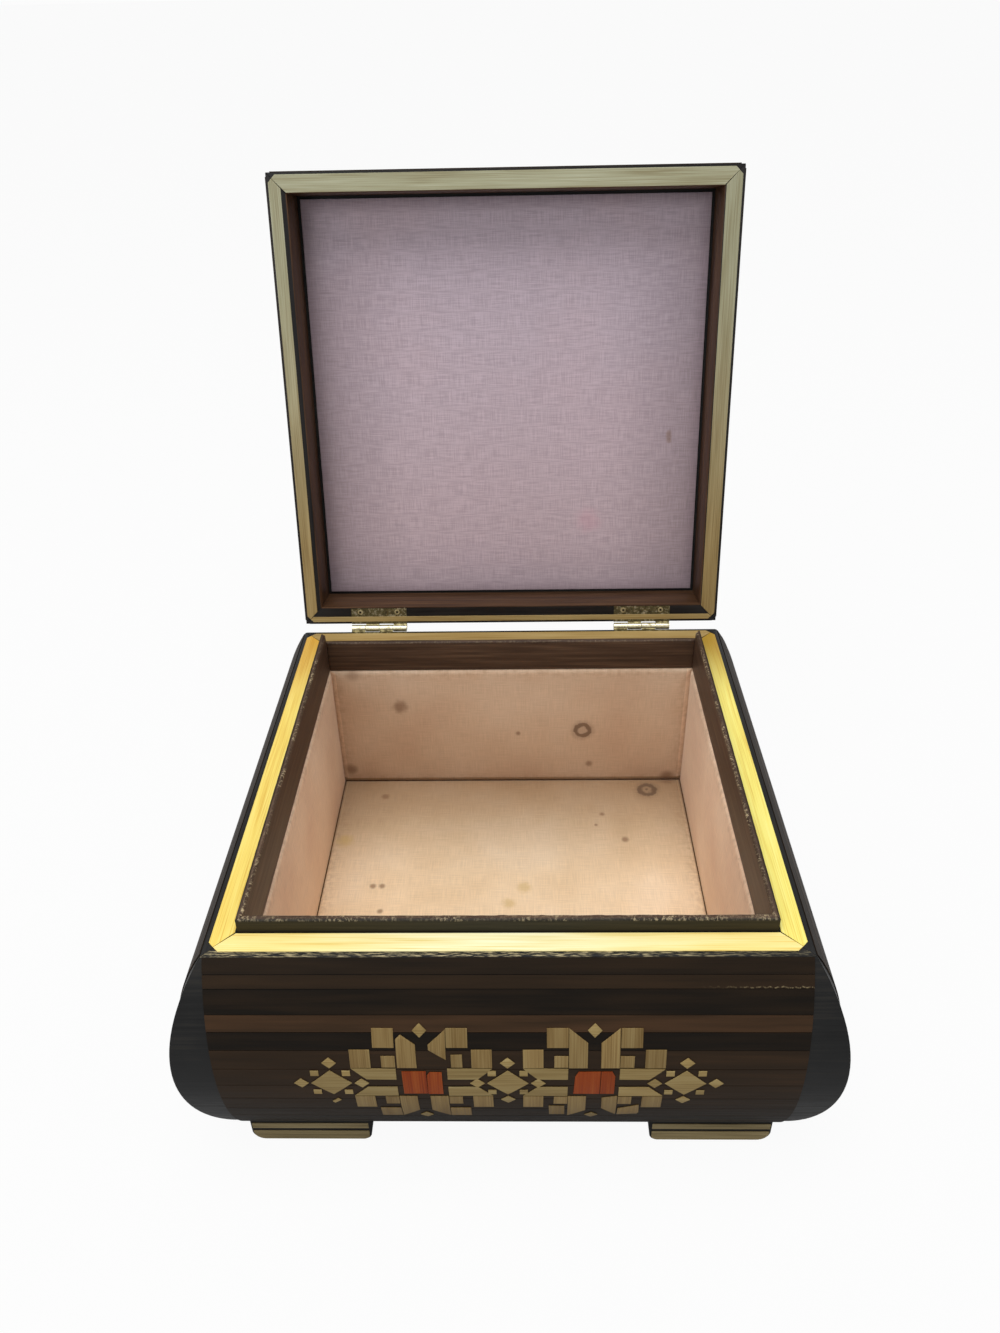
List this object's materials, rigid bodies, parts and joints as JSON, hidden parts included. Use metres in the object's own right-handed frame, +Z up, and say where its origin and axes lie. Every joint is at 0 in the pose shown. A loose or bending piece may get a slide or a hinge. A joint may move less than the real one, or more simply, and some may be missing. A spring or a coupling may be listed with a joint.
{
  "type": "straw inlay box",
  "caption": "Square bellied keepsake box on block feet with a hinged lid leaning open, dark straw veneer, straw inlay on the front, golden straw rims and a cloth lining.",
  "frame": {"origin": "on the table under the middle of the box, in the plane of the feet", "axes": "+X to the right, +Y to the hinged back, +Z up"},
  "size_m": [0.2292, 0.2833, 0.299],
  "materials": {
    "stained_wood": "black stained wood, satin lacquer",
    "panel_wood": "thin board, bare",
    "lip_wood": "dark stained strip, worn edges",
    "rim_straw": "natural golden straw, glossy",
    "lid_straw": "natural straw, faded",
    "foot_straw": "natural straw, darkened",
    "dark_straw": "dark stained straw, glossy",
    "inlay_straw": "natural straw tiles",
    "red_straw": "red dyed straw tiles",
    "lining_cloth": "peach cloth over card",
    "lid_linen": "mauve linen weave",
    "hinge_brass": "aged brass sheet",
    "nail_brass": "aged brass nails"
  },
  "bodies": {
    "box": {"bottom_panel": "panel_wood", "foot_front_left": "stained_wood", "foot_front_right": "stained_wood", "foot_rear_left": "stained_wood", "foot_rear_right": "stained_wood", "foot_straws_front": "foot_straw", "foot_straws_rear": "foot_straw", "front_wall": "stained_wood", "hinge_base_leaf_left": "hinge_brass", "hinge_base_leaf_right": "hinge_brass", "hinge_nails_base": "nail_brass", "hinge_pin_left": "hinge_brass", "hinge_pin_right": "hinge_brass", "inlay_level_straw": "inlay_straw", "inlay_red_straw": "red_straw", "inlay_upright_straw": "inlay_straw", "left_wall": "stained_wood", "lining_floor": "lining_cloth", "lining_front": "lining_cloth", "lining_left": "lining_cloth", "lining_rear": "lining_cloth", "lining_right": "lining_cloth", "lip_front": "lip_wood", "lip_left": "lip_wood", "lip_rear": "lip_wood", "lip_right": "lip_wood", "rear_wall": "stained_wood", "right_wall": "stained_wood", "rim_straw_front": "rim_straw", "rim_straw_left": "rim_straw", "rim_straw_rear": "rim_straw", "rim_straw_right": "rim_straw", "veneer_front": "dark_straw", "veneer_left": "dark_straw", "veneer_rear": "dark_straw", "veneer_right": "dark_straw"},
    "lid": {"hinge_lid_leaf_left": "hinge_brass", "hinge_lid_leaf_right": "hinge_brass", "hinge_nails_lid": "nail_brass", "lid_inlay_level_straw": "inlay_straw", "lid_inlay_red_straw": "red_straw", "lid_inlay_upright_straw": "inlay_straw", "lid_lining": "lid_linen", "lid_rail_front": "stained_wood", "lid_rail_left": "stained_wood", "lid_rail_rear": "stained_wood", "lid_rail_right": "stained_wood", "lid_side_veneer": "dark_straw", "lid_straw_band_front": "lid_straw", "lid_straw_band_left": "lid_straw", "lid_straw_band_rear": "lid_straw", "lid_straw_band_right": "lid_straw", "lid_top_panel": "panel_wood", "lid_top_veneer": "dark_straw"}
  },
  "joints": [
    {"name": "lid_hinge", "type": "hinge", "parent": "box", "child": "lid", "pos_m": [0, 0.1023, 0.10085], "axis": [1, 0, 0], "range_deg": [0, 101.7]}
  ]
}
